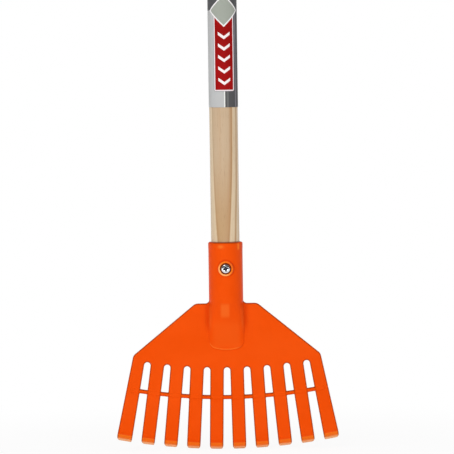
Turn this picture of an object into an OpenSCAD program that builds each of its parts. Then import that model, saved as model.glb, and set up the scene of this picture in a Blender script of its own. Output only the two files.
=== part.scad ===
// Child's sand rake: a moulded fan head on a round wooden handle, held by one screw.
// Millimetres. +Z runs up the handle, the front faces -Y, and the tine tips touch Z = 0.

/* [Handle] */
// Diameter of the wooden handle
handle_d = 24; // [20:0.5:26]
// Length of handle that stands out of the socket
handle_reach = 624.3; // [420:0.1:800]
// Radius that rounds the handle's top end
handle_round = 5; // [2:0.5:8]
// Bevel on the handle's lower end
handle_bevel = 1.5; // [0.5:0.25:3]

/* [Socket] */
// Height of the head, from the tine tips to the socket's mouth
head_h = 175.7; // [168:0.1:190]
// Wall of the socket round the handle
socket_wall = 2.3; // [2:0.1:4]
// Depth of the blind hole that takes the handle
socket_depth = 55; // [45:1:65]
// Clearance between the handle and the hole, on the radius
socket_gap = 0.1; // [0.05:0.05:0.4]
// Length of the full round tube, down from the mouth
tube_len = 52; // [48:0.5:56]
// Height of the band round the mouth
collar_h = 6; // [3:0.5:12]
// How far that band stands proud
collar_proud = 0.2; // [0.1:0.1:1]
// Radius that rounds the mouth's outer edge
mouth_r = 1; // [0.5:0.1:1.4]
// Bevel that leads the handle into the hole
lead_in = 0.7; // [0.3:0.1:1]
// Thickness of the hole's floor
floor_t = 2.5; // [2:0.1:4]

/* [Bulge below the socket] */
// Distance from the mouth to the lowest point of the bulge
bulge_drop = 91; // [80:0.5:95]
// How far the bulge's foot stands proud of the blade's face
bulge_step = 1.2; // [0.6:0.1:3]
// Radius of the curved foot
bulge_foot_r = 34; // [28:0.5:40]
// Width of the curved foot
bulge_foot_w = 30.4; // [26:0.2:31]
// Radius at the foot's two corners
bulge_corner_r = 5; // [3:0.5:6]
// How hollow the slope from the tube to the foot is, 1 for a straight one
bulge_sag = 1.6; // [1:0.1:2]
// Wall that the hollow in the back leaves
bulge_wall = 2.3; // [1.8:0.1:3]
// Distance from that hollow's lower end to the foot
bulge_sill = 8; // [6:0.5:12]

/* [Blade] */
// Thickness of the blade and of the tines
blade_t = 2.8; // [2:0.1:4]
// Distance from the mouth to the blade's straight top edge
shoulder_drop = 51.2; // [46:0.1:56]
// Width of the straight top edge, corner to corner
shoulder_w = 52; // [44:0.5:64]
// Corner radius of the shoulders
shoulder_r = 6; // [2:0.5:8]
// Distance from the mouth to the blade's side corners
cheek_drop = 95; // [88:0.5:98]
// Corner radius of the side corners
cheek_r = 6; // [2:0.5:12]
// Concave radius between the top edge and the tube
web_r = 3.2; // [1:0.1:5]

/* [Tines] */
// Number of tines
tines = 10; // [6:2:10]
// Angle from one tine to the next, in degrees
pitch = 2.24; // [2.1:0.01:2.3]
// Distance from the tips to the point that all tines aim at
fan_r = 497.7; // [488:0.1:520]
// Width of a tine
tine_w = 11.2; // [10:0.1:12]
// Length of the slots, from the tips to their round tops
slot_len = 69.8; // [60:0.1:71]
// Extra angle by which the outermost edges flare, in degrees
edge_flare = 2.1; // [0:0.1:3]
// How much wider the two outermost tines are at their tips
edge_extra = 1.6; // [0:0.1:3]

/* [Tine tips] */
// Angle that the tips bend back, in degrees
tip_angle = 65; // [40:1:85]
// Inner radius of the bend
tip_bend_r = 5; // [3:0.5:8]
// Straight length beyond the bend
tip_len = 4.5; // [2:0.5:8]
// Width that a tip's rounded corner takes off
tip_cut = 1.5; // [0.6:0.1:2.5]
// Height over which that corner runs
tip_cut_h = 2.8; // [1:0.1:4]
// Share of that width that moves outboard as a tine leans
tip_lean = 4; // [0:0.5:4]

/* [Bridging bar] */
// Distance from the tips to the bar's centre line
bar_up = 44.6; // [30:0.1:48]
// Width of the bar
bar_w = 3.4; // [2:0.1:5]
// How far the bar stands proud of the blade's faces
bar_proud = 0.3; // [0.1:0.1:1]

/* [Back ribs] */
// Distance of the two inner ribs from the centre line
rib_in_x = 22; // [18:0.5:26]
// Distance of the two outer ribs from the centre line
rib_out_x = 38; // [30:0.5:46]
// Thickness of a rib
rib_t = 1.8; // [1.2:0.1:2.4]
// Height of a rib over the blade's back
rib_h = 5; // [2:0.5:9]
// Distance from the mouth to the ribs' lower ends
rib_drop = 91; // [84:0.5:94]

/* [Screw] */
// Diameter of the screw's pan head
screw_head_d = 8; // [7:0.1:9]
// Height of the pan head
screw_head_h = 2.4; // [1.8:0.1:3]
// Diameter of the screw's shank
screw_d = 4; // [3:0.1:4.5]
// Length of the screw under its head
screw_len = 18; // [12:0.5:20]
// Distance from the mouth to the screw's axis
screw_drop = 21.8; // [15:0.1:30]
// Clearance round the shank
screw_gap = 0.05; // [0.02:0.01:0.2]

/* [Screw boss] */
// Outer diameter of the raised rim round the screw
boss_d = 12.8; // [11.6:0.1:15]
// Clearance between the screw's head and the rim
boss_gap = 0.65; // [0.3:0.05:1]
// How far the rim stands proud of the tube
boss_proud = 0.9; // [0.4:0.1:2]
// Depth of the screw's seat below the tube's face
seat_depth = 0.9; // [0.4:0.1:1.2]

/* [Label] */
// Height of the wrap label
label_h = 162.9; // [80:0.1:220]
// Bare handle between the mouth and the label
label_gap = 114.4; // [40:0.1:160]
// Thickness of the label
label_t = 0.45; // [0.4:0.05:0.8]
// Depth of the shallow seat that the label lies in
label_seat = 0.2; // [0.18:0.01:0.3]
// Clearance between the label and its seat
label_slack = 0.02; // [0.01:0.01:0.05]

/* [Hidden] */
$fn = 96;

handle_r = handle_d / 2;
bore_r = handle_r + socket_gap;
tube_r = bore_r + socket_wall;
mouth_z = head_h;
bore_floor_z = mouth_z - socket_depth;
tube_foot_z = mouth_z - tube_len;
bulge_top_z = tube_foot_z + 1;
bulge_foot_z = mouth_z - bulge_drop;
end_gap = 0.4;
handle_foot_z = bore_floor_z + end_gap;
handle_top_z = mouth_z + handle_reach;
shrink = 0.2;
screw_z = mouth_z - screw_drop;
seat_y = -(tube_r - seat_depth);
boss_in_r = screw_head_d / 2 + boss_gap;
label_z = mouth_z + label_gap;
face = blade_t / 2;

// The fan: all tines aim at one apex on the axis, fan_r above the tips
fan_angle = pitch * (tines - 1) / 2;
edge_angle = fan_angle + edge_flare;
wedge_apex = tine_w / 2 / sin(pitch / 2);
slot_c = (fan_r - slot_len - wedge_apex) / (1 - sin(pitch / 2));
slot_r = slot_c * sin(pitch / 2);
bend_start = fan_r - (tip_bend_r + blade_t) * sin(tip_angle) - tip_len * cos(tip_angle);
shoulder_z = mouth_z - shoulder_drop;
cheek_z = mouth_z - cheek_drop;
outer_tip = on_tine(fan_angle, tine_w / 2 + edge_extra, fan_r);
cheek_x = outer_tip[0] - (cheek_z - outer_tip[1]) * tan(edge_angle);

function unit(v) = v / norm(v);

// Point in the blade's plane, at a distance r from the apex along a tine and a step to its side
function on_tine(a, side, r) =
    [r * sin(a) + side * cos(a), fan_r - r * cos(a) + side * sin(a)];

// Arc of radius r that rounds the corner p between its neighbours a and b
function corner(a, p, b, r, steps = 6) =
    let (u = unit(a - p), v = unit(b - p), half = acos(u * v) / 2,
         c = p + unit(u + v) * r / sin(half), w = 180 - 2 * half,
         from = unit(p + u * r / tan(half) - c), to = unit(p + v * r / tan(half) - c))
    [for (i = [0 : steps]) let (t = i / steps)
        c + r * (from * sin((1 - t) * w) + to * sin(t * w)) / sin(w)];

// Rounded corner of a tip: way is 1 for the right side and -1 for the left, and the outermost
// tips are wider on their outer side
function tip_corner(a, way, steps = 4) =
    let (cut = tip_cut * (1 + way * tip_lean * sin(a)), r0 = fan_r - tip_cut_h,
         outer = way * a > fan_angle - pitch / 2,
         half = tine_w / 2 + (outer ? edge_extra : 0), lean = outer ? tan(edge_flare) : 0)
    [for (i = [0 : steps]) let (t = 90 * (way > 0 ? i : steps - i) / steps)
        on_tine(a, way * (half - cut + (cut - lean * tip_cut_h * (1 - sin(t))) * cos(t)),
                r0 + tip_cut_h * sin(t))];

// Round top of the slot at angle a, from its right side over to its left
function slot_top(a, steps = 10) =
    [for (i = [0 : steps]) let (t = pitch / 2 + (180 - pitch) * i / steps)
        on_tine(a, slot_r * cos(t), wedge_apex + slot_c - slot_r * sin(t))];

function mirrored(points) = [for (i = [len(points) - 1 : -1 : 0]) [-points[i][0], points[i][1]]];

// Front outline of the blade with its tines, in X and Z
function side_outline() =
    let (inner = [tube_r - socket_wall / 2, shoulder_z + web_r], shoulder = [shoulder_w / 2, shoulder_z],
         cheek = [cheek_x, cheek_z], web_c = [tube_r + web_r, shoulder_z + web_r])
    concat(
        [inner],
        [for (t = [180 : 15 : 270]) web_c + web_r * [cos(t), sin(t)]],
        corner([0, shoulder_z], shoulder, cheek, shoulder_r),
        corner(shoulder, cheek, outer_tip, cheek_r));

module fan_outline() {
    side = side_outline();
    comb = [for (k = [tines - 1 : -1 : 0]) let (a = (k - (tines - 1) / 2) * pitch) concat(
        tip_corner(a, 1), tip_corner(a, -1), k > 0 ? slot_top(a - pitch / 2) : [])];
    polygon(concat(side, [for (part = comb) for (p = part) p], mirrored(side)));
}

// Extrudes an outline drawn in X and Z from the depth y0 to the depth y1
module through(y0, y1) {
    translate([0, y1, 0]) rotate([90, 0, 0]) linear_extrude(y1 - y0) children();
}

// Revolves a profile drawn in distance from the apex and depth, half an angle to each side
module about_apex(half) {
    translate([0, 0, fan_r]) rotate([-90, 0, 0]) rotate([0, 0, 90 - half])
        rotate_extrude(angle = 2 * half) children();
}

// Section through the blade along a tine: flat sheet, bend and straight tip
module sheet_profile() {
    bend_y = face + tip_bend_r;
    far = tip_bend_r + blade_t + tip_len;
    top_r = fan_r - shoulder_z - 2 * web_r;
    translate([top_r, -face]) square([bend_start - top_r, blade_t]);
    translate([bend_start, bend_y]) {
        intersection() {
            difference() {
                circle(tip_bend_r + blade_t);
                circle(tip_bend_r);
            }
            polygon([[0, 0], [0, -far], [far * tan(tip_angle / 2), -far],
                     far * [sin(tip_angle), -cos(tip_angle)]]);
        }
        rotate(tip_angle) translate([0, -tip_bend_r - blade_t]) square([tip_len, blade_t]);
    }
}

module blade() {
    intersection() {
        through(-tube_r, 2 * tube_r) fan_outline();
        about_apex(edge_angle + 2) sheet_profile();
    }
}

// Thin bar along an arc that ties the tines together
module bar() {
    about_apex(fan_angle + asin(0.4 * tine_w / fan_r))
        translate([fan_r - bar_up - bar_w / 2, -face - bar_proud])
            square([bar_w, blade_t + 2 * bar_proud]);
}

// Fin on the blade's back that stiffens it, from under its sloping edge down
module rib(x) {
    slope = (shoulder_z - cheek_z) / (cheek_x - shoulder_w / 2);
    top_z = min(shoulder_z, shoulder_z - (abs(x) - shoulder_w / 2) * slope) - shoulder_r;
    foot_z = mouth_z - rib_drop;
    fall = min(rib_h * 1.6, (top_z - foot_z) / 2.5);
    translate([x - rib_t / 2, 0, 0]) rotate([90, 0, 90]) linear_extrude(rib_t)
        polygon([[0, top_z], [face, top_z], [face + rib_h, top_z - fall],
                 [face + rib_h, foot_z + fall], [face, foot_z], [0, foot_z]]);
}

// Tube with the band round its mouth
module tube() {
    band_r = tube_r + collar_proud;
    rotate_extrude() polygon(concat(
        [[0, tube_foot_z], [tube_r, tube_foot_z], [tube_r, mouth_z - collar_h],
         [band_r, mouth_z - collar_h + 2 * collar_proud]],
        [for (t = [0 : 15 : 90]) [band_r - mouth_r * (1 - cos(t)), mouth_z - mouth_r * (1 - sin(t))]],
        [[0, mouth_z]]));
}

// Cross-section of the bulge at the share t of its height, from the tube down to the foot.
// It turns from a circle into a flat bar, and its foot curves up to rounded corners.
function bulge_half_w(t) = let (top = tube_r - shrink) top + (bulge_foot_w / 2 - top) * t;
function bulge_half_d(t) =
    let (foot = face + bulge_step) foot + (tube_r - shrink - foot) * pow(1 - t, bulge_sag);
function soft(v, power) = sign(v) * pow(abs(v), power);
function arc_rise(x, r) = r - sqrt(r * r - x * x);
function bulge_ring(t, inset, back, count = 36) = [for (i = [0 : count - 1])
    let (a = 360 * (i + 0.5) / count, power = 1 / (1 + t),
         x = (bulge_half_w(t) - inset) * soft(cos(a), power),
         y = (bulge_half_d(t) - inset) * soft(sin(a), power),
         side = max(0, abs(x) - bulge_half_w(t) + bulge_corner_r),
         rise = arc_rise(x, bulge_foot_r) + arc_rise(side, bulge_corner_r))
    [x, y > 0 && back > 0 ? back : y,
     bulge_top_z + (bulge_foot_z - bulge_top_z) * t + rise * t * t]];

// Skin over rings of points, closed by strips that join each point to the one behind it
module loft(rings) {
    n = len(rings[0]);
    last = (len(rings) - 1) * n;
    skin = [for (k = [0 : len(rings) - 2], i = [0 : n - 1]) let (j = (i + 1) % n)
        [k * n + i, k * n + j, k * n + n + j, k * n + n + i]];
    lids = [for (i = [0 : n / 2 - 2]) each [
        [i, n - 1 - i, n - 2 - i, i + 1],
        [last + i, last + i + 1, last + n - 2 - i, last + n - 1 - i]]];
    polyhedron([for (ring = rings) each ring], concat(skin, lids));
}

// The tube's front and back run down into the blade and end in a curved foot
module bulge() {
    steps = 8;
    loft([for (k = [0 : steps]) bulge_ring(k / steps, 0, 0)]);
}

// Hollow that cores the bulge from behind, below the floor of the handle's hole
module bulge_core() {
    steps = 5;
    span = bulge_top_z - bulge_foot_z;
    from = (bulge_top_z - bore_floor_z + floor_t) / span;
    to = 1 - bulge_sill / span;
    loft([for (k = [0 : steps])
        bulge_ring(from + (to - from) * k / steps, bulge_wall, tube_r + mouth_r)]);
}

// Raised rim round the screw, with a rounded lip
module boss() {
    out_r = boss_d / 2;
    lip = (out_r - boss_in_r) / 2;
    top = tube_r + boss_proud;
    translate([0, 0, screw_z]) rotate([90, 0, 0]) rotate_extrude() polygon(concat(
        [[0, bore_r], [out_r, bore_r - lip]],
        [for (t = [0 : 30 : 180]) [out_r - lip + lip * cos(t), top - lip + lip * sin(t)]],
        [[boss_in_r, -seat_y], [0, -seat_y]]));
}

module rake_head() {
    color("orangered") difference() {
        union() {
            tube();
            bulge();
            blade();
            bar();
            boss();
            for (x = [rib_in_x, rib_out_x], way = [-1, 1]) rib(way * x);
        }
        bulge_core();
        translate([0, 0, bore_floor_z]) cylinder(h = socket_depth + lead_in, r = bore_r);
        translate([0, 0, mouth_z - lead_in])
            cylinder(h = 2 * lead_in, r1 = bore_r, r2 = bore_r + 2 * lead_in);
        translate([0, 0, screw_z]) rotate([90, 0, 0]) {
            cylinder(h = tube_r, r = screw_d / 2 + screw_gap);
            translate([0, 0, -seat_y]) cylinder(h = seat_depth + 2 * boss_proud, r = boss_in_r);
        }
    }
}

// Dowel with a rounded top, a bevelled foot, a shallow seat for the label and a pilot hole
module handle() {
    seat_r = handle_r - label_seat;
    color("burlywood") difference() {
        rotate_extrude() polygon(concat(
            [[0, handle_foot_z], [handle_r - handle_bevel, handle_foot_z],
             [handle_r, handle_foot_z + handle_bevel], [handle_r, label_z], [seat_r, label_z],
             [seat_r, label_z + label_h], [handle_r, label_z + label_h]],
            [for (t = [0 : 10 : 90]) [handle_r - handle_round * (1 - cos(t)),
                                      handle_top_z - handle_round * (1 - sin(t))]],
            [[0, handle_top_z]]));
        translate([0, 0, screw_z]) rotate([90, 0, 0]) translate([0, 0, -seat_y - screw_len - 1])
            cylinder(h = screw_len + handle_d, r = screw_d / 2 + screw_gap);
    }
}

// Pan head wood screw with a cross recess
module screw() {
    head_r = screw_head_d / 2;
    rim = screw_head_h * 0.3;
    color("silver") translate([0, seat_y, screw_z]) rotate([90, 0, 0]) difference() {
        rotate_extrude() polygon(concat(
            [[0, -screw_len], [screw_d / 2, -screw_len + 1.5 * screw_d], [screw_d / 2, 0],
             [head_r, 0]],
            [for (t = [0 : 15 : 90]) [head_r * cos(t), rim + (screw_head_h - rim) * sin(t)]]));
        for (turn = [0, 90]) rotate([0, 0, turn])
            translate([-head_r * 0.55, -head_r * 0.13, screw_head_h * 0.45])
                cube([head_r * 1.1, head_r * 0.26, screw_head_h]);
    }
}

module label() {
    inner = handle_r - label_seat + label_slack;
    color("dimgray") translate([0, 0, label_z + label_slack]) difference() {
        cylinder(h = label_h - 2 * label_slack, r = inner + label_t);
        translate([0, 0, -1]) cylinder(h = label_h + 2, r = inner);
    }
}

rake_head();
handle();
screw();
label();
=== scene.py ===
import math

import bmesh
import bpy
import numpy as np
from mathutils import Matrix, Vector


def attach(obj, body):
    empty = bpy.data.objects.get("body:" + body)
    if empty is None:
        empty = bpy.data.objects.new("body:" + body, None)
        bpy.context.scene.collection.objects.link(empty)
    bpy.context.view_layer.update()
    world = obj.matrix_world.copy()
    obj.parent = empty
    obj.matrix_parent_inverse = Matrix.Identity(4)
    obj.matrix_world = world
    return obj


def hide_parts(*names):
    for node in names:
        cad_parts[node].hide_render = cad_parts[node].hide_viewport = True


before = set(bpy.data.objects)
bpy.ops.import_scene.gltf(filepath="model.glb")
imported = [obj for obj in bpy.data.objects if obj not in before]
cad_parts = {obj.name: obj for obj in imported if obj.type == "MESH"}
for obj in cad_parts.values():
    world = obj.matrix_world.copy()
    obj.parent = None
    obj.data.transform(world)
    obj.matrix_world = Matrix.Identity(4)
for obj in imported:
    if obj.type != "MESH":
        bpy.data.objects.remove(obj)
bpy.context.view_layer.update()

# A child's sand rake: moulded fan head, wooden handle, screw and wrap label.
# Shapes are worked out in millimetres, in the frame of the CAD model, and turned into metres at the end.
# Angles are in radians, apart from those of the lamps.

MM = 0.001

# Handle and socket
HANDLE_R = 12.0
HANDLE_FOOT, HANDLE_TOP = 121.1, 800.0
FOOT_CHAMFER, TOP_ROUND = 1.5, 5.0
BORE_R, BORE_FLOOR, BORE_EDGE_R, BORE_FLOOR_R = 12.1, 120.7, 0.6, 0.5
TUBE_R, MOUTH_Z, MOUTH_R = 14.4, 175.7, 1.6
BAND_H, BAND_PROUD, BAND_RAMP = 6.0, 0.1, 0.8

# Printed film, seated in the handle, with its thinned start under its lapped end
LABEL_Z, LABEL_H, LABEL_R = 289.1, 162.9, 12.27
FILM, FILM_START, FILM_LAP = 0.38, 0.14, 0.42
FILM_SEAT, FILM_GAP = 0.2, 0.02

# Print on the film, a little right of the middle of the front
PRINT_SHIFT = 1.15
PANEL_LOW, PANEL_HALF = LABEL_Z + 14.6, 8.0
DIAMOND_Z, DIAMOND_HALF = LABEL_Z + 81.0, 13.8

# Bulge below the socket, and the blind core behind it
BULGE_TOP, BULGE_FOOT = 124.7, 84.7
FOOT_R, FOOT_HALF, FOOT_CORNER, FOOT_DEPTH, FOOT_EDGE_R = 34.0, 15.2, 5.0, 2.6, 0.4
BULGE_SAG, BULGE_START, TUBE_BLEND = 1.6, -0.3, 0.5
CORE_WALL, CORE_TOP, CORE_END = 2.3, 118.2, 0.8
CORE_TOP_R, CORE_END_R, CORE_EDGE_R = 1.0, 1.5, 0.5

# Blade and tines; FACE is half the blade's thickness
FACE, EDGE_R = 1.4, 0.5
SHOULDER_Z, SHOULDER_X, SHOULDER_R = 123.9, 26.0, 7.0
WEB_R, WEB_SINK = 3.6, 0.4
CHEEK_Z, CHEEK_R = 80.7, 6.0
TINES, PITCH, FAN_R, TINE_HALF = 10, math.radians(2.24), 497.7, 5.7
SLOT_LEN = 69.8
EDGE_EXTRA, FLARE = 1.6, math.radians(2.1)
BAR_R, BAR_HALF, BAR_PROUD, BAR_EDGE_R = FAN_R - 44.6, 1.7, 0.3, 0.5
BAR_END = 0.4 * TINE_HALF

# Ribs behind the blade, each given by its distance from the middle and its top, and their sinks in front
RIBS = ((22.0, 118.5), (38.0, 108.5))
RIB_HALF, RIB_H, RIB_FOOT, RIB_FALL = 0.9, 5.0, 84.7, 8.0
RIB_DRAFT, RIB_CORNER_R, RIB_EDGE_R = 0.05, 2.0, 0.4
SINK, SINK_HALF, SINK_RISE, SINK_FALL = 0.05, 0.8, 14, 8

# Bent tips
TIP_ANGLE = math.radians(65)
BEND_R, TIP_LEN = 5.0 + FACE, 4.5
BEND_START = FAN_R - (BEND_R + FACE) * math.sin(TIP_ANGLE) - TIP_LEN * math.cos(TIP_ANGLE)
SHEET_END = BEND_START + BEND_R * TIP_ANGLE + TIP_LEN
TIP_CUT, TIP_CUT_LEN, TIP_LEAN = 1.7, 7.8, 4.0

# Fillets between the parts of the head
BAR_FILLET, RIB_FILLET = 0.4, 0.7
BODY_FILLET, BODY_FILLET_SIDE = 0.4, 2.6

# Screw, and the rim round it
SCREW_Z, SEAT_Y, SEAT_EDGE_R = 153.9, -13.5, 0.3
BOSS_R, BOSS_IN_R, BOSS_TOP = 6.4, 4.65, 15.3
BOSS_EDGE_R, BOSS_FILLET = 0.85, 1.0
SCREW_HEAD_R, SCREW_HEAD_H, SCREW_R, SCREW_LEN = 4.0, 2.4, 2.0, 18.0
SCREW_HOLE_GAP = 0.05
HEAD_RIM, HEAD_ROUND, HEAD_EDGE_R = 0.3 * SCREW_HEAD_H, 2.3, 0.15
THREAD_H, THREAD_PITCH, POINT_LEN = 0.55, 1.8, 6.0
CROSS_DEEP, CROSS_REACH, CROSS_HALF, CROSS_TURN = 2.1, 2.6, 0.62, 0.2
CROSS_WELL_R, CROSS_EDGE_R = 1.45, 0.12

FAN_ANGLE = PITCH * (TINES - 1) / 2
WEDGE_APEX = TINE_HALF / math.sin(PITCH / 2)
SLOT_C = (FAN_R - SLOT_LEN - WEDGE_APEX) / (1 - math.sin(PITCH / 2))
SLOT_R = SLOT_C * math.sin(PITCH / 2)

# Values well inside and well outside any solid, and one that keeps divisions from zero
DEEP, AWAY, TINY = -9, 1e3, 1e-9


# Fields: signed distances in millimetres, negative inside the solid

def length(*parts):
    return np.sqrt(sum(p * p for p in parts))


def join(a, b, r):
    """Union with a concave fillet of radius r."""
    return np.maximum(np.minimum(a, b), r) - length(np.maximum(r - a, 0), np.maximum(r - b, 0))


def meet(a, b, r):
    """Intersection with a rounded edge of radius r."""
    return np.minimum(np.maximum(a, b), -r) + length(np.maximum(a + r, 0), np.maximum(b + r, 0))


def arc_meet(a, b, r, turn):
    """Intersection of two half planes whose normals are an angle apart, with an arc of radius r."""
    u, v = a + r, b + r
    c = math.cos(turn)
    reach = length(u, (v - u * c) / math.sin(turn))
    return np.where((v > u * c) & (u > v * c), reach - r, np.maximum(a, b))


def ease(v, low, high):
    """0 below low and 1 above high, smooth between."""
    t = np.clip((v - low) / (high - low), 0, 1)
    return t * t * (3 - 2 * t)


def fall(v, low, high):
    """1 below low and 0 above high, smooth between."""
    return ease(-v, -high, -low)


def bell(v, middle, width):
    """1 at the middle, and a bell curve down to 0 on both sides."""
    return np.exp(-((v - middle) / width) ** 2)


def half_plane(x, z, a, b):
    """Distance to the line from a to b in X and Z, positive on its left."""
    dx, dz = b[0] - a[0], b[1] - a[1]
    return ((z - a[1]) * dx - (x - a[0]) * dz) / math.hypot(dx, dz)


def tine_point(angle, side, r):
    """X and Z of a point beside the middle line of the tine at this angle, at radius r from the apex."""
    return (r * math.sin(angle) + side * math.cos(angle),
            FAN_R - r * math.cos(angle) + side * math.sin(angle))


def outline_field(x, z):
    """Front outline of the blade: rounded shoulders and cheeks, flared sides and ten tines."""
    ax = np.abs(x)
    tip = tine_point(FAN_ANGLE, TINE_HALF + EDGE_EXTRA, FAN_R)
    cheek = (tip[0] - (CHEEK_Z - tip[1]) * math.tan(FAN_ANGLE + FLARE), CHEEK_Z)
    drop = math.atan2(SHOULDER_Z - CHEEK_Z, cheek[0] - SHOULDER_X)
    slope = half_plane(ax, z, (SHOULDER_X, SHOULDER_Z), cheek)
    side = half_plane(ax, z, cheek, tip)
    outer = np.maximum(arc_meet(z - SHOULDER_Z, slope, SHOULDER_R, drop),
                       arc_meet(slope, side, CHEEK_R, math.pi / 2 - FAN_ANGLE - FLARE - drop))
    outer = np.where(z < SHOULDER_Z + WEB_R, join(outer, ax - TUBE_R + WEB_SINK, WEB_R), outer)
    turn = np.arctan2(x, FAN_R - z)
    mid = np.clip(np.round(turn / PITCH), 1 - TINES // 2, TINES // 2 - 1) * PITCH
    along = x * np.sin(mid) + (FAN_R - z) * np.cos(mid) - WEDGE_APEX - SLOT_C
    across = np.abs(x * np.cos(mid) - (FAN_R - z) * np.sin(mid))
    half = PITCH / 2
    beyond = across * math.sin(half) + along * math.cos(half)
    straight = across * math.cos(half) - along * math.sin(half) - SLOT_R
    slot = np.where(beyond > 0, straight, length(across, along) - SLOT_R)
    return np.maximum(outer, -slot)


def sheet_coordinates(x, y, z):
    """Length along the bent sheet from the apex, and depth from its middle."""
    d = np.hypot(x, FAN_R - z) - BEND_START
    h = y - BEND_R
    turn = np.arctan2(d, -h)
    arc = (d > 0) & (turn <= TIP_ANGLE)
    tip = (d > 0) & (turn > TIP_ANGLE)
    s, c = math.sin(TIP_ANGLE), math.cos(TIP_ANGLE)
    u, v = d - BEND_R * s, h + BEND_R * c
    run = np.where(arc, BEND_START + BEND_R * turn, d + BEND_START)
    run = np.where(tip, BEND_START + BEND_R * TIP_ANGLE + u * c + v * s, run)
    depth = np.where(arc, BEND_R - length(d, h), y)
    return run, np.where(tip, v * c - u * s, depth)


def blade_parts(x, y, z):
    """Distances to the blade's outline, tips included, and to its faces."""
    run, depth = sheet_coordinates(x, y, z)
    outline = outline_field(x, z)
    turn = np.arctan2(x, FAN_R - z)
    k = np.clip(np.round(turn / PITCH - 0.5), -TINES // 2, TINES // 2 - 1) + 0.5
    side = x * np.cos(k * PITCH) - (FAN_R - z) * np.sin(k * PITCH)
    # Corners of a tip, cut a little more on the side that faces outwards
    cut = TIP_CUT * (1 + np.sign(side) * TIP_LEAN * np.sin(k * PITCH))
    outermost = np.sign(side) * k > TINES // 2 - 1
    half = TINE_HALF + outermost * (EDGE_EXTRA - (SHEET_END - np.minimum(run, SHEET_END)) * math.tan(FLARE))
    across = np.maximum(np.abs(side) - half + cut, 0) / cut
    along = np.maximum(run - SHEET_END + TIP_CUT_LEN, 0) / TIP_CUT_LEN
    reach = length(across, along)
    steep = length(across / cut, along / TIP_CUT_LEN) + TINY
    corner = np.where((across > 0) & (along > 0), reach * (reach - 1) / steep, DEEP)
    end = np.maximum(run - SHEET_END, corner)
    outline = np.where(run > BEND_START, np.maximum(outline, end), outline)
    # Slight sinks in the front face, over the ribs behind it
    ax = np.abs(x)
    sink = sum(bell(ax, rib, SINK_HALF) * ease(z, RIB_FOOT, RIB_FOOT + SINK_RISE)
               * fall(z, top - SINK_FALL, top) for rib, top in RIBS)
    return outline, np.abs(depth) - FACE + SINK * sink * (depth < 0)


def blade_field(x, y, z):
    return meet(*blade_parts(x, y, z), EDGE_R)


def bar_field(x, y, z):
    """Thin bar on an arc across all tines, a little proud of both faces."""
    r = np.hypot(x, FAN_R - z)
    turn = np.abs(np.arctan2(x, FAN_R - z))
    section = meet(np.abs(r - BAR_R) - BAR_HALF, np.abs(y) - FACE - BAR_PROUD, BAR_EDGE_R)
    return np.maximum(section, turn * BAR_R - FAN_ANGLE * BAR_R - BAR_END)


def rib_field(x, y, z):
    """Two pairs of upright ribs behind the blade, with slanting ends."""
    ribs = AWAY
    scale = math.hypot(RIB_FALL, RIB_H)
    for rib, top in RIBS:
        upper = ((y - FACE) * RIB_FALL + (z - top) * RIB_H) / scale
        lower = ((y - FACE) * RIB_FALL + (RIB_FOOT - z) * RIB_H) / scale
        edge = meet(meet(upper, y - FACE - RIB_H, RIB_CORNER_R), lower, RIB_CORNER_R)
        half = RIB_HALF - RIB_DRAFT * (y - FACE)
        fin = meet(np.abs(np.abs(x) - rib) - half, edge, RIB_EDGE_R)
        ribs = np.minimum(ribs, np.maximum(fin, -y))
    return ribs


def bulge_share(x, z):
    """Share of the way down from the tube to the curved foot."""
    rise = FOOT_R - np.sqrt(FOOT_R ** 2 - np.minimum(np.abs(x), FOOT_HALF) ** 2)
    span = BULGE_TOP - BULGE_FOOT
    down = BULGE_TOP - z
    return 2 * down / (span + np.sqrt(np.maximum(span ** 2 - 4 * rise * down, 0)))


def foot_field(x, z):
    """Front outline of the bulge: straight sides and a foot that curves up to rounded corners."""
    arc = length(x, z - BULGE_FOOT - FOOT_R) - FOOT_R
    arc = np.where(z < BULGE_FOOT + FOOT_R, arc, np.abs(x) - FOOT_R)
    return meet(np.abs(x) - FOOT_HALF, arc, FOOT_CORNER)


def section_field(x, y, t, inset):
    """Cross-section of tube and bulge: a circle that turns into a flat bar as t goes from 0 to 1."""
    t = np.clip(t, BULGE_START, 1.0)
    deep = FOOT_DEPTH + (TUBE_R - FOOT_DEPTH) * (1 - t) ** BULGE_SAG
    over = np.clip(0.5 + 0.5 * (deep - TUBE_R) / TUBE_BLEND, 0, 1)
    deep = deep + (TUBE_R - deep) * over - TUBE_BLEND * over * (1 - over)
    t = np.maximum(t, 0)
    w = TUBE_R + (FOOT_HALF - TUBE_R) * t - inset
    d = deep - inset
    p = 2 * (1 + t)
    a, b = np.abs(x) / w + TINY, np.abs(y) / d + TINY
    k = (a ** p + b ** p) ** (1 / p)
    slope = length((a / k) ** (p - 1) / w, (b / k) ** (p - 1) / d)
    return (k - 1) / slope


def body_field(x, y, z, t):
    """Socket, bulge and the rim round the screw, still solid."""
    band = BAND_PROUD * ease(z, MOUTH_Z - BAND_H, MOUTH_Z - BAND_H + BAND_RAMP)
    body = np.where(t > BULGE_START, section_field(x, y, t, 0), np.hypot(x, y) - TUBE_R) - band
    foot = np.where(z < BULGE_TOP, foot_field(x, z), DEEP)
    body = meet(meet(body, foot, FOOT_EDGE_R), z - MOUTH_Z, MOUTH_R)
    rho, out = np.hypot(x, z - SCREW_Z), -y
    rim = np.maximum(meet(rho - BOSS_R, out - BOSS_TOP, BOSS_EDGE_R), BORE_R - out)
    return np.where(out > 5, join(body, rim, BOSS_FILLET), body)


def plate_field(x, y, z):
    """Blade with its tines, bar and ribs."""
    plate = join(blade_field(x, y, z), bar_field(x, y, z), BAR_FILLET)
    return join(plate, rib_field(x, y, z), RIB_FILLET)


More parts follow.
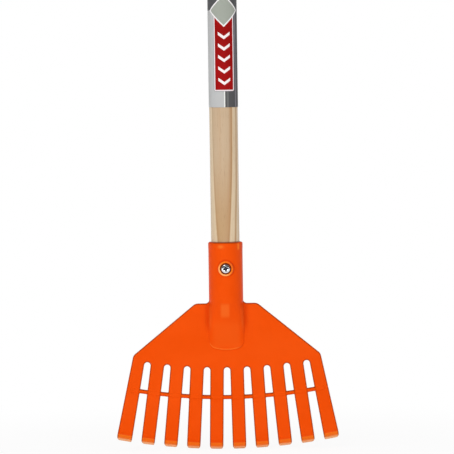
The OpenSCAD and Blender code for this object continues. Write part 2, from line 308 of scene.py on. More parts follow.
def core_field(x, y, z, t):
    """Blind hollow behind the bulge, open at the back."""
    core = section_field(x, np.minimum(y, 0), np.minimum(t, CORE_END + 0.1), CORE_WALL)
    core = meet(core, z - CORE_TOP, CORE_TOP_R)
    return meet(core, (t - CORE_END) * (BULGE_TOP - BULGE_FOOT), CORE_END_R)


def head_field(x, y, z):
    t = bulge_share(x, z)
    beside_bulge = ease(z, BULGE_FOOT + 6, BULGE_FOOT + 26) * fall(z, SHOULDER_Z - 12, SHOULDER_Z)
    fillet = BODY_FILLET + BODY_FILLET_SIDE * beside_bulge
    solid = join(body_field(x, y, z, t), plate_field(x, y, z), fillet)
    solid = meet(solid, -core_field(x, y, z, t), CORE_EDGE_R)
    bore = meet(np.hypot(x, y) - BORE_R, BORE_FLOOR - z, BORE_FLOOR_R)
    solid = meet(solid, -bore, BORE_EDGE_R)
    rho, out = np.hypot(x, z - SCREW_Z), -y
    seat = meet(rho - BOSS_IN_R, -SEAT_Y - out, SEAT_EDGE_R)
    solid = meet(solid, -seat, BOSS_EDGE_R)
    return np.where(out > 0, np.maximum(solid, SCREW_R + SCREW_HOLE_GAP - rho), solid)


def screw_field(x, y, z):
    """Pan head with a cross recess on a threaded shank, along Y, with the underside of the head at 0."""
    rho, out = np.hypot(x, z), -y
    helix = np.arctan2(z, x) / (2 * math.pi) + out / THREAD_PITCH
    shank = SCREW_R - THREAD_H + THREAD_H * np.abs(2 * (helix % 1) - 1)
    point = np.clip((out + SCREW_LEN) / POINT_LEN, 0, 1)
    into_head, thread_slope = 0.5, 0.8
    shank = np.maximum(rho - shank * point, np.maximum(-out - SCREW_LEN, out - into_head)) * thread_slope
    dome_h = SCREW_HEAD_H - HEAD_RIM
    a, b = rho / SCREW_HEAD_R, np.maximum(out - HEAD_RIM, 0) / dome_h
    k = (a ** HEAD_ROUND + b ** HEAD_ROUND + TINY) ** (1 / HEAD_ROUND)
    slope = length((a / k) ** (HEAD_ROUND - 1) / SCREW_HEAD_R, (b / k) ** (HEAD_ROUND - 1) / dome_h)
    head = meet((k - 1) / np.maximum(slope, 0.1), -out, HEAD_EDGE_R)
    # Cross recess that narrows downwards, with a round well in the middle
    c, s = math.cos(CROSS_TURN), math.sin(CROSS_TURN)
    u, v = np.abs(x * c + z * s), np.abs(z * c - x * s)
    down = np.clip((SCREW_HEAD_H - out) / CROSS_DEEP, 0, 1.2)
    reach, half = CROSS_REACH * (1 - 0.5 * down), CROSS_HALF - 0.14 * down
    well_r = CROSS_WELL_R - 0.9 * down
    wing_r, well_fillet, floor_r = 0.1, 0.25, 0.3
    cross = np.minimum(meet(u - reach, v - half, wing_r), meet(v - reach, u - half, wing_r))
    cross = join(cross, rho - well_r, well_fillet)
    cross = meet(cross, SCREW_HEAD_H - CROSS_DEEP - out, floor_r)
    return meet(np.minimum(head, shank), -cross, CROSS_EDGE_R)


# Painted light and shade of the head, as shares from 0 to 1

def painted_edge_shade(x, y, z, outline, flat, run, depth):
    """Painted shade: a dark line on the cut edges of blade and bar, weaker behind and on the tips, and a
    painted shadow on the mouth's front.
    """
    line, bar_line, near = (-1.25, -0.35), (-1.1, -0.5), 0.3
    behind_share, under_bar_share, mouth_share, tip_loss = 0.4, 0.5, 0.75, 0.75
    edge = ease(outline, *line) * flat
    r = np.hypot(x, FAN_R - z)
    from_bar = np.abs(r - BAR_R) - BAR_HALF
    on_bar = (outline > -near) & (np.abs(y) < FACE + BAR_PROUD + 0.1) & (from_bar < near)
    upper_or_lower = np.where(r < BAR_R, 1, under_bar_share)
    edge = np.where(on_bar, ease(from_bar, *bar_line) * upper_or_lower, edge)
    edge = edge * (behind_share + (1 - behind_share) * fall(depth, -1.0, -0.2))
    # The line ends at the shoulders and nearly goes out on the flat ends of the tips
    edge = edge * fall(z, SHOULDER_Z + 2, SHOULDER_Z + 5)
    past_bend, before_end = run - BEND_START, SHEET_END - run
    edge = edge * (1 - tip_loss * ease(past_bend, 6.0, 7.5) * ease(before_end, 0.2, 0.7))
    # Painted shadow across the front of the mouth, under the handle
    mouth = ease(z, MOUTH_Z - 1.3, MOUTH_Z - 0.6) * fall(np.abs(x), 9, 12) * (y < 0)
    return np.maximum(edge, mouth_share * mouth)


def painted_tip_highlight(run, depth, flat):
    """Painted highlight on the tips: a little from the bend on, most on the flat end, and only outside."""
    past_bend, bend_share = run - BEND_START, 0.42
    amount = bend_share * ease(past_bend, 1.9, 3.0) + (1 - bend_share) * ease(past_bend, 5.0, 7.5)
    return amount * flat * fall(depth, -0.6, 0.6)


def painted_rim_light_and_shade(x, y, z):
    """Painted highlight on the lip of the rim round the screw, brightest at the lower left, painted shade in
    the gap inside it, and painted shade at its foot.
    """
    rho, out = np.hypot(x, z - SCREW_Z), -y
    upper_right = (x + z - SCREW_Z) / np.maximum(rho, TINY) / math.sqrt(2)
    from_lip = np.abs(rho - (BOSS_R + BOSS_IN_R) / 2)
    lip = fall(from_lip, 0.45, 0.95) * (out > TUBE_R - 1.2) * (0.65 - 0.35 * upper_right)
    gap = (rho < BOSS_IN_R + 0.25) * fall(out, BOSS_TOP - 0.8, BOSS_TOP - 0.3) * (out > HANDLE_R)
    foot = ease(rho, BOSS_R - 0.3, BOSS_R + 0.2) * fall(rho, BOSS_R + 0.6, BOSS_R + 2.0)
    return lip * (1 - gap), gap, foot * (0.5 + 0.5 * upper_right) * (out > TUBE_R - 3)


def painted_gloss(x, y, z):
    """Painted highlights on the front, from the mouth down to the lower edge of the bulge."""
    ax = np.abs(x)
    mouth_patch = bell(x, -4, 2.2) * bell(z, MOUTH_Z - 3.4, 1.3)
    mouth_streak = bell(x, 10.8, 0.8) * ease(z, MOUTH_Z - 7, MOUTH_Z - 5) * fall(z, MOUTH_Z - 1.5, MOUTH_Z)
    bulge_patch = fall(np.abs(x + 1), 2.4, 4.6) * fall(np.abs(z - BULGE_TOP + 6.3), 3.5, 7.5)
    slope = fall(ax, 9, 13) * ease(z, BULGE_FOOT, BULGE_FOOT + 5)
    slope = slope * fall(z, BULGE_TOP - 20.7, BULGE_TOP - 10.7)
    flank = bell(ax, TUBE_R - 0.8, 1.1) * ease(z, BULGE_FOOT + 14, BULGE_FOOT + 24)
    flank = flank * fall(z, SHOULDER_Z - 4, SHOULDER_Z)
    sill = fall(np.abs(foot_field(x, z) + 0.2), 0.3, 0.9) * fall(z, BULGE_FOOT + 4, BULGE_FOOT + 7)
    sill = sill * fall(x, 7, 14)
    gloss = 0.4 * mouth_patch + 0.5 * mouth_streak + 0.2 * bulge_patch + 0.06 * slope
    return (gloss + 0.11 * flank + 0.35 * sill) * (y < -FACE - 0.15)


def painted_crease_shade(x, y, z):
    """Painted shade in the creases of the front on both sides of the bulge."""
    crease = bell(np.abs(x), TUBE_R + 1.8, 2.1) * (y < 0)
    return crease * ease(z, BULGE_FOOT + 12, BULGE_FOOT + 24) * fall(z, SHOULDER_Z - 1, SHOULDER_Z + 3)


def head_tone(x, y, z):
    """Painted shade on cut edges, painted highlights, painted shade in the gap round the screw, and painted
    shade in the creases and at the rim's foot, one column each.
    """
    outline, thick = blade_parts(x, y, z)
    run, depth = sheet_coordinates(x, y, z)
    skin = 0.35
    flat = thick < skin
    lip, gap, rim_foot_shade = painted_rim_light_and_shade(x, y, z)
    edge = painted_edge_shade(x, y, z, outline, flat, run, depth)
    painted_highlight = np.maximum(np.maximum(lip, painted_tip_highlight(run, depth, flat)), painted_gloss(x, y, z))
    return np.stack([edge, painted_highlight, gap, np.maximum(painted_crease_shade(x, y, z), rim_foot_shade)], 1)


# Meshing

def spaced(*marks):
    """Grid positions from (position, step after it) pairs, up to the last position."""
    out = []
    for (a, step), (b, _) in zip(marks, marks[1:]):
        n = max(1, round((b - a) / step))
        out += [a + (b - a) * i / n for i in range(n)]
    return np.array(out + [marks[-1][0]])


def sample(field, axes, step=8, batch=1500):
    """Field on the grid, worked out point by point only in the blocks that the surface may cross."""
    reach, margin = 1.3, 0.5
    axes = [np.append(a, a[-1] + (a[-1] - a[-2]) * np.arange(1, -len(a) % step + 1)) for a in axes]
    parts = [a.reshape(-1, step) for a in axes]
    mids = [(p[:, 0] + p[:, -1]) / 2 for p in parts]
    halves = [(p[:, -1] - p[:, 0]) / 2 + margin for p in parts]
    grid = np.meshgrid(*mids, indexing="ij")
    rough = field(*(g.ravel() for g in grid)).reshape(grid[0].shape)
    size = length(*np.meshgrid(*halves, indexing="ij"))
    near = np.argwhere(np.abs(rough) < reach * size)
    values = rough.astype(np.float32)
    for axis in range(3):
        values = np.repeat(values, step, axis)
    view = values.reshape(len(mids[0]), step, len(mids[1]), step, len(mids[2]), step)
    for start in range(0, len(near), batch):
        i, j, k = near[start:start + batch].T
        x = parts[0][i][:, :, None, None]
        y = parts[1][j][:, None, :, None]
        z = parts[2][k][:, None, None, :]
        x, y, z = (np.ascontiguousarray(np.broadcast_to(v, (len(i),) + (step,) * 3)) for v in (x, y, z))
        view[i, :, j, :, k, :] = field(x, y, z)
    return values, axes


def surface_nets(values, axes):
    """Vertices in the cells that the surface crosses, and the quads between them."""
    inside = values < 0
    shape = values.shape
    strides = np.array([shape[1] * shape[2], shape[2], 1])
    unit = np.eye(3, dtype=int)
    cells, points, flips = [], [], []
    for a in range(3):
        low, high = [slice(None)] * 3, [slice(None)] * 3
        low[a], high[a] = slice(0, -1), slice(1, None)
        index = np.argwhere(inside[tuple(low)] != inside[tuple(high)])
        v0 = values[tuple(index.T)].astype(float)
        v1 = values[tuple((index + unit[a]).T)].astype(float)
        p = np.stack([axes[d][index[:, d]] for d in range(3)], 1)
        p[:, a] += v0 / (v0 - v1) * (axes[a][index[:, a] + 1] - axes[a][index[:, a]])
        b, c = unit[(a + 1) % 3], unit[(a + 2) % 3]
        ring = [index, index - b, index - b - c, index - c]
        cells.append(np.stack([q @ strides for q in ring], 1))
        points.append(p)
        flips.append(v0 > 0)
    cells, points = np.concatenate(cells), np.concatenate(points)
    flips = np.concatenate(flips)
    ids, quads = np.unique(cells, return_inverse=True)
    quads = quads.reshape(-1, 4)
    count = np.bincount(quads.ravel(), minlength=len(ids))
    verts = np.stack([np.bincount(quads.ravel(), np.repeat(points[:, d], 4), len(ids)) / count
                      for d in range(3)], 1)
    quads[flips] = quads[flips][:, ::-1]
    return verts, quads


def slope_of(field, p, e=0.02):
    """Value and gradient of the field at points p."""
    corners = np.array([[1, -1, -1], [-1, -1, 1], [-1, 1, -1], [1, 1, 1]])
    gradient, total = np.zeros_like(p), 0
    for corner in corners:
        v = field(*(p + e * corner).T)
        gradient += v[:, None] * corner
        total = total + v
    return total / 4, gradient / (4 * e)


def settle(field, p, limit, rounds=3):
    """Moves points onto the surface along the field's gradient, by the limit at most in each round."""
    least = 0.2
    for _ in range(rounds):
        v, g = slope_of(field, p)
        move = v[:, None] * g / np.maximum((g * g).sum(1), least)[:, None]
        far = np.sqrt((move * move).sum(1))[:, None]
        p = p - move * np.minimum(1, limit / np.maximum(far, TINY))
    return p


def new_object(name, verts, faces, smooth=True):
    mesh = bpy.data.meshes.new(name)
    mesh.from_pydata(verts, [], faces)
    mesh.validate()
    mesh.polygons.foreach_set("use_smooth", [smooth] * len(mesh.polygons))
    obj = bpy.data.objects.new(name, mesh)
    bpy.context.scene.collection.objects.link(obj)
    return obj


def coordinates(mesh):
    p = np.zeros(len(mesh.vertices) * 3)
    mesh.vertices.foreach_get("co", p)
    return p.reshape(-1, 3)


def thin_out(obj, share, spared):
    """Drops vertices where the surface is flat, down to a share of the faces, apart from the spared ones."""
    thin = obj.modifiers.new("thin", "DECIMATE")
    thin.ratio = share
    thin.use_collapse_triangulate = True
    if spared is not None:
        obj.vertex_groups.new(name="plain").add(np.flatnonzero(~spared).tolist(), 1.0, "ADD")
        thin.vertex_group = "plain"
    thinned = bpy.data.meshes.new_from_object(obj.evaluated_get(bpy.context.evaluated_depsgraph_get()))
    obj.modifiers.clear()
    obj.data = thinned
    thinned.name = obj.name


def weld(mesh, reach):
    """Joins vertices that lie on each other and drops the faces that this leaves without area."""
    shape = bmesh.new()
    shape.from_mesh(mesh)
    bmesh.ops.remove_doubles(shape, verts=shape.verts, dist=reach)
    bmesh.ops.dissolve_degenerate(shape, edges=shape.edges, dist=reach)
    shape.to_mesh(mesh)
    shape.free()


def tone_changes(tone, p):
    """True for the points that have another tone a short step away."""
    step, least = 0.9, 0.03
    diagonals = step * np.array([[1, 0, 1], [-1, 0, 1], [1, 0, -1], [-1, 0, -1]])
    near = [tone(*(p + move).T) for move in diagonals]
    return np.ptp(near, axis=0).max(1) >= least


def moulded(name, field, axes, keep, offset=(0, 0, 0), tone=None):
    """Object whose mesh follows the field, thinned where it is flat, with normals from the field."""
    weld_reach, normal_reach = 0.01, 0.04
    values, axes = sample(field, axes)
    verts, quads = surface_nets(values, axes)
    cell = min(np.diff(a).min() for a in axes)
    verts = settle(field, verts, cell)
    obj = new_object(name, verts.tolist(), quads.tolist())
    thin_out(obj, keep, tone_changes(tone, verts) if tone else None)
    mesh = obj.data
    mesh.vertices.foreach_set("co", settle(field, coordinates(mesh), cell, 2).ravel())
    weld(mesh, weld_reach)
    p = coordinates(mesh)
    normals = slope_of(field, p, normal_reach)[1]
    normals /= np.maximum(np.sqrt((normals * normals).sum(1)), TINY)[:, None]
    mesh.vertices.foreach_set("co", ((p + np.array(offset)) * MM).ravel())
    mesh.polygons.foreach_set("use_smooth", [True] * len(mesh.polygons))
    mesh.normals_split_custom_set_from_vertices(normals.tolist())
    if tone:
        layer = mesh.color_attributes.new("tone", "FLOAT_COLOR", "POINT")
        layer.data.foreach_set("color", tone(*p.T).ravel())
    mesh.update()
    return obj


def lathe(name, profile, turns):
    """Solid of revolution about Z from (radius, height) points that start and end on the axis."""
    angles = [2 * math.pi * i / turns for i in range(turns)]
    verts = [(0, 0, profile[0][1] * MM)]
    for r, z in profile[1:-1]:
        verts += [(r * MM * math.cos(a), r * MM * math.sin(a), z * MM) for a in angles]
    verts.append((0, 0, profile[-1][1] * MM))
    rows = len(profile) - 2
    faces = [(0, 1 + (i + 1) % turns, 1 + i) for i in range(turns)]
    for k in range(rows - 1):
        a, b = 1 + k * turns, 1 + (k + 1) * turns
        faces += [(a + i, a + (i + 1) % turns, b + (i + 1) % turns, b + i) for i in range(turns)]
    a, top = 1 + (rows - 1) * turns, len(verts) - 1
    faces += [(a + i, a + (i + 1) % turns, top) for i in range(turns)]
    return new_object(name, verts, faces)


# Pieces

def make_head():
    # Grid steps, finer round the socket and in the blade's thickness
    f = 1.0
    axes = [
        spaced((-94, 0.62 * f), (-18, 0.4 * f), (18, 0.62 * f), (94, 1)),
        spaced((-16.4, 0.42 * f), (-2.4, 0.33 * f), (2.4, 0.42 * f), (15.8, 1)),
        spaced((-1.0, 0.5 * f), (14, 0.66 * f), (70, 0.55 * f), (140, 0.4 * f), (MOUTH_Z + 2, 1)),
    ]
    return moulded("rake_head", head_field, axes, 0.45, tone=head_tone)


def make_screw():
    f = 1.0
    half = SCREW_HEAD_R + 0.3
    across = spaced((-half, 0.16 * f), (half, 1))
    along = spaced((-SCREW_HEAD_H - 0.3, 0.15 * f), (0.4, 0.25 * f), (SCREW_LEN + 0.4, 1))
    return moulded("screw", screw_field, [across, along, across], 0.6, (0, SEAT_Y, SCREW_Z))


def make_handle():
    """Dowel with a chamfered foot, a shallow seat for the film and a rounded end."""
    soft, wall, gap, turns, arc_steps = 0.1, 0.02, 0.2, 144, 14
    seat_r, label_top = HANDLE_R - FILM_SEAT, LABEL_Z + LABEL_H
    cut_r, flat_r = HANDLE_R - FOOT_CHAMFER, HANDLE_R - TOP_ROUND
    profile = [(0, HANDLE_FOOT), (cut_r, HANDLE_FOOT), (cut_r + 2 * soft, HANDLE_FOOT + soft),
               (HANDLE_R - soft, HANDLE_FOOT + FOOT_CHAMFER - 2 * soft),
               (HANDLE_R, HANDLE_FOOT + FOOT_CHAMFER + soft)]
    profile += [(HANDLE_R, z) for z in np.linspace(HANDLE_FOOT + 2.2, LABEL_Z - gap, 24)]
    profile += [(HANDLE_R, LABEL_Z), (seat_r, LABEL_Z + wall)]
    profile += [(seat_r, z) for z in np.linspace(LABEL_Z + gap, label_top - gap, 12)]
    profile += [(seat_r, label_top - wall), (HANDLE_R, label_top)]
    profile += [(HANDLE_R, z) for z in np.linspace(label_top + gap, HANDLE_TOP - TOP_ROUND - 0.6, 24)]
    for i in range(arc_steps + 1):
        a = math.pi / 2 * i / arc_steps
        profile.append((flat_r + TOP_ROUND * math.cos(a), HANDLE_TOP - TOP_ROUND * (1 - math.sin(a))))
    profile += [(flat_r - 0.4, HANDLE_TOP), (flat_r - 4, HANDLE_TOP), (0, HANDLE_TOP)]
    return lathe("handle", profile, turns)


def make_label():
    """Thin film wrapped once round the handle, with its end lapped over its thinned start at the back."""
    turns, lip, ramp = 150, 0.08, 0.5
    low, high = LABEL_Z + FILM_GAP, LABEL_Z + LABEL_H - FILM_GAP
    heights = [low, low + lip] + list(np.linspace(low + 1, high - 1, 30)) + [high - lip, high]
    full_turn = 2 * math.pi
    verts, faces = [], []
    for i in range(turns + 1):
        angle = (full_turn + FILM_LAP) * i / turns
        over = ease(angle, full_turn - ramp, full_turn + 0.02)
        r_in = LABEL_R - FILM + (FILM_START + 0.01) * over
        r_out = r_in + FILM_START + (FILM - FILM_START) * (1 - over) * ease(angle, FILM_LAP, FILM_LAP + ramp)
        a = math.pi / 2 - FILM_LAP / 2 + angle
        ring = [(r_in, z) for z in heights] + [(r_out, z) for z in reversed(heights)]
        verts += [(r * MM * math.cos(a), r * MM * math.sin(a), z * MM) for r, z in ring]
    half = len(heights)
    n = 2 * half
    for i in range(turns):
        a, b = i * n, (i + 1) * n
        faces += [(a + j, a + (j + 1) % n, b + (j + 1) % n, b + j) for j in range(n)]
    # Both ends of the film
    for first, flip in ((0, True), (turns * n, False)):
        for j in range(half - 1):
            quad = (first + j, first + j + 1, first + n - 2 - j, first + n - 1 - j)
            faces.append(quad[::-1] if flip else quad)
    obj = new_object("label", verts, faces)
    obj.data.set_sharp_from_angle(angle=math.radians(50))
    return obj


# Materials

WHITE = (1, 1, 1, 1)


class Nodes:
    """Short way to write the shader nodes of a material or of the world."""

    def __init__(self, owner):
        owner.use_nodes = True
        self.owner, self.tree = owner, owner.node_tree
        self.tree.nodes.clear()
        self.place = self.add("TexCoord").outputs

    def add(self, kind, inputs=None, **settings):
        """New node whose inputs are linked to sockets or set to values."""
        node = self.tree.nodes.new("ShaderNode" + kind)
        for key, value in settings.items():
            setattr(node, key, value)
        for key, value in (inputs or {}).items():
            if isinstance(value, bpy.types.NodeSocket):
                self.tree.links.new(value, node.inputs[key])
            else:
                node.inputs[key].default_value = value
        return node

    def math(self, op, *values):
        return self.add("Math", dict(enumerate(values)), operation=op).outputs[0]

    def product(self, first, *others):
        for other in others:
            first = self.math("MULTIPLY", first, other)
        return first

    def reach(self, a, b):
        """Length of the hypotenuse over a and b."""
        return self.math("SQRT", self.math("ADD", self.product(a, a), self.product(b, b)))

    def band(self, value, low, high, first=0.0, last=1.0):
        """From the first amount at low to the last amount at high, smooth between and constant outside."""
        node = self.add("MapRange", {0: value, 1: low, 2: high, 3: first, 4: last},
                        interpolation_type="SMOOTHSTEP")
        return node.outputs[0]

    def mix(self, share, a, b):
        return self.add("Mix", {0: share, 6: a, 7: b}, data_type="RGBA").outputs[2]

    def scaled(self, scale):
        return self.add("Mapping", {0: self.place["Object"], 3: scale}).outputs[0]

    def noise(self, scale, detail, rough=0.5):
        """Noise of the size 1 / scale, in metres along X, Y and Z."""
        inputs = {"Vector": self.scaled(scale), "Scale": 1.0, "Detail": detail, "Roughness": rough}
        return self.add("TexNoise", inputs).outputs[0]

    def millimetres(self):
        """X, Y and Z of the shaded point."""
        return self.add("SeparateXYZ", {0: self.scaled((1 / MM, 1 / MM, 1 / MM))}).outputs

    def bump(self, height, strength, distance, **inputs):
        values = {"Strength": strength, "Distance": distance, "Height": height, **inputs}
        return self.add("Bump", values).outputs[0]

    def end(self, kind, shader):
        self.tree.links.new(shader.outputs[0], self.add(kind).inputs[0])
        return self.owner

    def principled(self, inputs):
        """Ends the material with this shader."""
        return self.end("OutputMaterial", self.add("BsdfPrincipled", inputs))


def srgb(r, g, b):
    """Linear colour from 0 to 255 sRGB values."""
    def one(v):
        v /= 255
        return v / 12.92 if v <= 0.04045 else ((v + 0.055) / 1.055) ** 2.4
    return (one(r), one(g), one(b), 1.0)


def plastic():
    """Orange moulded plastic: faint flow marks, fine grain, and the painted shade and painted highlights of
    the head.
    """
    m = Nodes(bpy.data.materials.new("orange_plastic"))
    cloud = m.noise((18, 18, 30), 3.0)
    grain = m.noise((2600, 2600, 2600), 2.0)
    scuff = m.noise((900, 900, 120), 3.0, 0.6)
    wave = m.noise((160, 160, 160), 1.0)
    tone = m.add("VertexColor", layer_name="tone").outputs
    edge, painted_highlight, recess = m.add("SeparateColor", {0: tone[0]}).outputs
    crease = tone[1]
    colour = m.mix(m.band(cloud, 0.35, 0.65), srgb(229, 73, 5), srgb(232, 77, 10))
    # Painted shade in the creases beside the bulge and at the foot of the rim round the screw
    colour = m.mix(m.product(crease, 0.45), colour, srgb(199, 41, 0))
    # Painted highlights: a soft orange where they are faint, amber in the bend and lightest on the tips'
    # ends
    light = m.mix(m.band(painted_highlight, 0.45, 1.0), srgb(255, 142, 22), srgb(255, 176, 108))
    light = m.mix(m.band(painted_highlight, 0.28, 0.4), srgb(255, 150, 62), light)
    colour = m.mix(painted_highlight, colour, light)
    # Painted shade: dark line on the cut edges and across the front of the mouth
    colour = m.mix(m.product(edge, 0.8), colour, srgb(140, 54, 4))
    # Painted shade in the gap round the screw head
    colour = m.mix(m.product(recess, 0.9), colour, srgb(90, 30, 5))
    # Rougher with scuff noise where highlights are painted
    rough_on_highlights = m.product(painted_highlight, m.band(scuff, 0.45, 0.75))
    rough = m.math("MULTIPLY_ADD", rough_on_highlights, 0.2, m.math("MULTIPLY_ADD", cloud, 0.12, 0.32))
    normal = m.bump(wave, 0.12, 0.0004, Normal=m.bump(grain, 0.12, 0.00008))
    return m.principled({"Base Color": colour, "Roughness": rough, "Normal": normal,
                         "Specular IOR Level": m.math("MULTIPLY_ADD", painted_highlight, 0.6, 0.1),
                         "Specular Tint": (1.0, 0.5, 0.1, 1.0)})


def wood():
    """Clear lacquered wood: growth rings cut lengthwise, fine fibres and short dark pores."""
    m = Nodes(bpy.data.materials.new("lacquered_wood"))
    x, y, z = m.millimetres()
    # Depth inside a ring whose pith lies in front of the handle, and which closes in further down
    pith_x, pith_y, ring_r, ring_gap = -5.6, -39.6, 32.6, 5.6
    lean, lean_z, lean_soft = 0.0223, 240.0, 30.0
    from_pith = m.reach(m.math("SUBTRACT", x, pith_x), m.math("SUBTRACT", y, pith_y))
    low = m.math("SUBTRACT", lean_z, z)
    below = m.math("ADD", low, m.math("SQRT", m.math("MULTIPLY_ADD", low, low, lean_soft ** 2)))
    depth = m.math("SUBTRACT", m.math("MULTIPLY_ADD", below, -lean, ring_r), from_pith)
    warp = m.noise((60, 60, 7), 2.0)
    depth = m.math("MULTIPLY_ADD", warp, 1.4, m.math("SUBTRACT", depth, 0.7))
    ring = m.math("FRACT", m.product(depth, 1 / ring_gap))
    inner = m.mix(m.band(z, 180.0, 262.0), srgb(183, 147, 102), srgb(197, 172, 141))
    colour = m.mix(m.band(depth, -0.4, 0.1), srgb(216, 195, 162), inner)
    right_side = m.band(x, -4.0, 6.0)
    colour = m.mix(m.product(m.band(ring, 0.5, 0.1), right_side), colour, srgb(182, 142, 98))
    late_wood = m.product(m.band(ring, 0.0, 0.02), m.band(ring, 0.2, 0.06))
    colour = m.mix(m.product(late_wood, 0.4), colour, srgb(166, 122, 78))
    fibre = m.noise((2200, 2200, 45), 3.0, 0.6)
    streak = m.noise((420, 420, 9), 2.0)
    pores = m.band(m.noise((3200, 3200, 140), 1.0), 0.66, 0.74)
    # Painted shade: a dark line on the wood where it goes into the socket
    socket_shade = m.band(z, MOUTH_Z + 0.9, MOUTH_Z + 0.3)
    for share, strength, shade in ((m.band(streak, 0.45, 0.75), 0.25, srgb(190, 148, 108)),
                                   (m.band(fibre, 0.35, 0.75), 0.2, srgb(178, 134, 94)),
                                   (pores, 0.35, srgb(130, 92, 58)),
                                   (socket_shade, 0.7, srgb(120, 55, 20))):
        colour = m.mix(m.product(share, strength), colour, shade)
    return m.principled({"Base Color": colour, "Roughness": m.math("MULTIPLY_ADD", fibre, 0.2, 0.36),
                         "Normal": m.bump(fibre, 0.25, 0.00006), "Specular IOR Level": 0.2,
                         "Coat Weight": 0.6, "Coat Roughness": 0.16, "Coat IOR": 1.5})


def zinc():
    """Bright zinc plating with fine turned lines, and painted shade in the cross recess."""
    m = Nodes(bpy.data.materials.new("bright_zinc"))
    x, y, z = m.millimetres()
    spots = m.noise((900, 900, 900), 3.0)
    turned = m.noise((2500, 300, 2500), 2.0)
    colour = m.mix(m.band(spots, 0.3, 0.7), srgb(232, 234, 238), srgb(205, 208, 214))
    # Painted shade deep in the cross recess of the head
    from_axis = m.reach(x, m.math("SUBTRACT", z, SCREW_Z))
    head_y = SEAT_Y - SCREW_HEAD_H
    recess = m.product(m.band(from_axis, 2.7, 2.4), m.band(y, head_y + 0.25, head_y + 0.8))
    colour = m.mix(recess, colour, srgb(48, 50, 58))
    return m.principled({"Base Color": colour, "Metallic": 1.0,
                         "Roughness": m.math("MULTIPLY_ADD", turned, 0.15, 0.12),
                         "Normal": m.bump(spots, 0.15, 0.00003)})


def print_film():
    """Printed wrap film: grey fields, a red panel with plain chevrons and a bare diamond above it."""
    m = Nodes(bpy.data.materials.new("printed_film"))
    x, y, z = m.millimetres()
    front = m.math("LESS_THAN", y, 0.0)
    turn = m.math("ARCTAN2", x, m.product(y, -1.0))
    x = m.math("MULTIPLY_ADD", turn, LABEL_R, -PRINT_SHIFT)
    from_middle = m.math("ABSOLUTE", x)

    # Light field on the left, dark field on the right and at the top, and upright lines below the diamond
    dark = m.math("MAXIMUM", m.math("GREATER_THAN", x, 0.0), m.math("GREATER_THAN", z, DIAMOND_Z))
    colour = m.mix(dark, srgb(187, 188, 188), srgb(84, 84, 86))
    below_diamond = m.product(front, m.math("LESS_THAN", z, DIAMOND_Z))
    for at, half, shade in ((2.6, 0.9, srgb(108, 109, 108)), (11.0, 0.5, srgb(136, 130, 140)),
                            (14.6, 0.8, srgb(60, 60, 66)), (0.0, 0.45, srgb(236, 236, 232))):
        on_line = m.math("LESS_THAN", m.math("ABSOLUTE", m.math("SUBTRACT", x, at)), half)
        colour = m.mix(m.product(on_line, below_diamond), colour, shade)

    from_panel = m.math("ABSOLUTE", m.math("SUBTRACT", z, (PANEL_LOW + DIAMOND_Z) / 2))

    def panel(grow):
        """1 inside the panel grown by this much, with rounded corners."""
        r = 0.5 + grow
        u = m.math("MAXIMUM", m.math("SUBTRACT", from_middle, PANEL_HALF + grow - r), 0.0)
        v = m.math("SUBTRACT", from_panel, (DIAMOND_Z - PANEL_LOW) / 2 + grow - r)
        v = m.math("MAXIMUM", v, 0.0)
        return m.product(front, m.math("LESS_THAN", m.reach(u, v), r))

    ink = m.band(m.noise((120, 120, 60), 2.0), 0.35, 0.65)
    colour = m.mix(m.product(panel(1.5), 0.5), colour, srgb(96, 92, 104))
    colour = m.mix(panel(1.0), colour, srgb(238, 226, 228))
    colour = m.mix(panel(0.0), colour, m.mix(ink, srgb(150, 0, 0), srgb(160, 3, 5)))

    # Plain chevrons that point down to the head
    chevron_start, chevron_gap, chevron_h, chevron_fall = PANEL_LOW + 4, 9.6, 2.6, 0.7
    chevron_half, chevron_end = 5.1, 42.0
    step = m.math("MULTIPLY_ADD", from_middle, -chevron_fall, m.math("SUBTRACT", z, chevron_start))
    chevrons = m.product(m.math("LESS_THAN", m.math("MODULO", step, chevron_gap), chevron_h),
                         m.math("LESS_THAN", from_middle, chevron_half), front,
                         m.math("GREATER_THAN", step, 0.0), m.math("LESS_THAN", step, chevron_end))
    colour = m.mix(chevrons, colour, srgb(248, 236, 236))

    # Diamond with a white border, left bare
    from_centre = m.math("ADD", from_middle, m.math("ABSOLUTE", m.math("SUBTRACT", z, DIAMOND_Z)))
    for size, shade in ((DIAMOND_HALF, srgb(242, 240, 240)), (DIAMOND_HALF - 1.5, srgb(163, 168, 158))):
        colour = m.mix(m.product(front, m.math("LESS_THAN", from_centre, size)), colour, shade)

    speck = m.noise((1500, 1500, 1500), 2.0)
    wave = m.noise((130, 130, 40), 2.0)
    return m.principled({"Base Color": colour, "Roughness": m.math("MULTIPLY_ADD", speck, 0.12, 0.30),
                         "Normal": m.bump(wave, 0.2, 0.0002), "Specular IOR Level": 0.12})


def dress(obj, material, node):
    obj.data.materials.clear()
    obj.data.materials.append(material)
    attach(obj, "root")
    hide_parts(node)


dress(make_head(), plastic(), "rake_head")
dress(make_handle(), wood(), "handle")
dress(make_screw(), zinc(), "screw")
dress(make_label(), print_film(), "label")


# Floor, light and camera

# Strength of the backdrop before and behind the object, as light and as it shows in reflections
FRONT_LIGHT, BACK_LIGHT = 0.78, 0.4
FRONT_SHINE, BACK_SHINE = 0.12, 0.25
FLOOR_PAINT = (0.95, 0.95, 0.95, 1)
UPPER_PIECES = ("handle", "label", "screw")


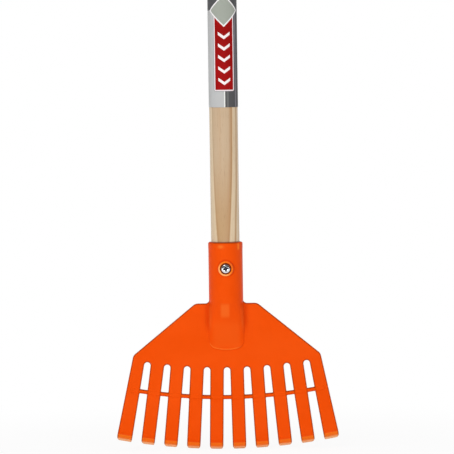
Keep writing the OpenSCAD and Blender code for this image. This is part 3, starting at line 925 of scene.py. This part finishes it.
def make_floor():
    """White floor that the camera and reflections see evenly lit, with a faint shadow near the object."""
    side, evenness = 60.0, 0.9
    verts = [(x * side, y * side, 0) for x, y in ((-1, -1), (1, -1), (1, 1), (-1, 1))]
    floor = new_object("floor", verts, [(0, 1, 2, 3)], smooth=False)
    m = Nodes(bpy.data.materials.new("floor_white"))
    rays = m.add("LightPath").outputs
    seen = m.math("MAXIMUM", rays["Is Camera Ray"], rays["Is Glossy Ray"])
    seen = m.math("MAXIMUM", seen, rays["Is Transmission Ray"])
    far = m.add("VectorMath", {0: m.place["Object"]}, operation="LENGTH").outputs["Value"]
    even = m.band(far, 0.12, 0.45, evenness, 1.0)
    lit = m.add("BsdfDiffuse", {0: FLOOR_PAINT})
    glow = m.add("Emission", {0: WHITE, 1: 1.0})
    shader = m.add("MixShader", {0: m.product(seen, even), 1: lit.outputs[0], 2: glow.outputs[0]})
    floor.data.materials.append(m.end("OutputMaterial", shader))


def make_world():
    """White backdrop that lights the object softly, less from behind, and is dim in reflections."""
    world = bpy.data.worlds.new("studio")
    bpy.context.scene.world = world
    m = Nodes(world)
    rays = m.add("LightPath").outputs
    back = m.add("SeparateXYZ", {0: m.place["Generated"]}).outputs[1]
    level = m.band(back, -0.2, 0.7, FRONT_LIGHT, BACK_LIGHT)
    shine = m.band(back, -0.3, 0.5, FRONT_SHINE, BACK_SHINE)
    for ray, seen in (("Is Glossy Ray", shine), ("Is Transmission Ray", 1.0), ("Is Camera Ray", 1.0)):
        level = m.add("MapRange", {0: rays[ray], 3: level, 4: seen}).outputs[0]
    m.end("OutputWorld", m.add("Background", {0: WHITE, 1: level}))


def softbox(name, azimuth, distance, height, wide, tall, power, aim=0.25, only=()):
    """Area light at an angle in degrees, positive to the camera's right, for the named pieces or for all."""
    lamp = bpy.data.lights.new(name, "AREA")
    lamp.shape, lamp.size, lamp.size_y, lamp.energy = "RECTANGLE", wide, tall, power
    obj = bpy.data.objects.new(name, lamp)
    bpy.context.scene.collection.objects.link(obj)
    a = math.radians(azimuth)
    obj.location = (distance * math.sin(a), -distance * math.cos(a), height)
    turn = (Vector((0, 0, aim)) - obj.location).to_track_quat("-Z", "Y")
    obj.rotation_euler = turn.to_euler()
    obj.visible_camera = False
    if only:
        lit = bpy.data.collections.new(name + "_lit")
        for piece in only:
            lit.objects.link(bpy.data.objects[piece])
        obj.light_linking.receiver_collection = lit


def make_camera():
    """Long lens in front of the rake, higher than its head, tilted down a little and rolled slightly."""
    data = bpy.data.cameras.new("camera")
    data.sensor_width, data.lens, data.clip_end = 36.0, 359.0, 200
    cam = bpy.data.objects.new("camera", data)
    bpy.context.scene.collection.objects.link(cam)
    bpy.context.scene.camera = cam
    where, target, roll = Vector((0.0, -3.8, 0.4031)), Vector((0.0016, 0, 0.1881)), math.radians(-0.8)
    turn = (target - where).to_track_quat("-Z", "Y").to_matrix().to_4x4()
    cam.matrix_world = Matrix.Translation(where) @ turn @ Matrix.Rotation(roll, 4, "Z")


make_floor()
make_world()
softbox("left", azimuth=-116, distance=1.3, height=0.45, wide=1.5, tall=1.8, power=4.8, only=UPPER_PIECES)
softbox("right", azimuth=66, distance=1.5, height=0.45, wide=1.5, tall=1.8, power=6.2, only=UPPER_PIECES)
softbox("key", azimuth=-20, distance=2.2, height=1.9, wide=0.6, tall=0.6, power=10)
softbox("table", azimuth=-8, distance=0.55, height=0.06, wide=0.7, tall=0.12, power=0.96, aim=0.03)
make_camera()
bpy.context.scene.view_settings.view_transform = "Standard"
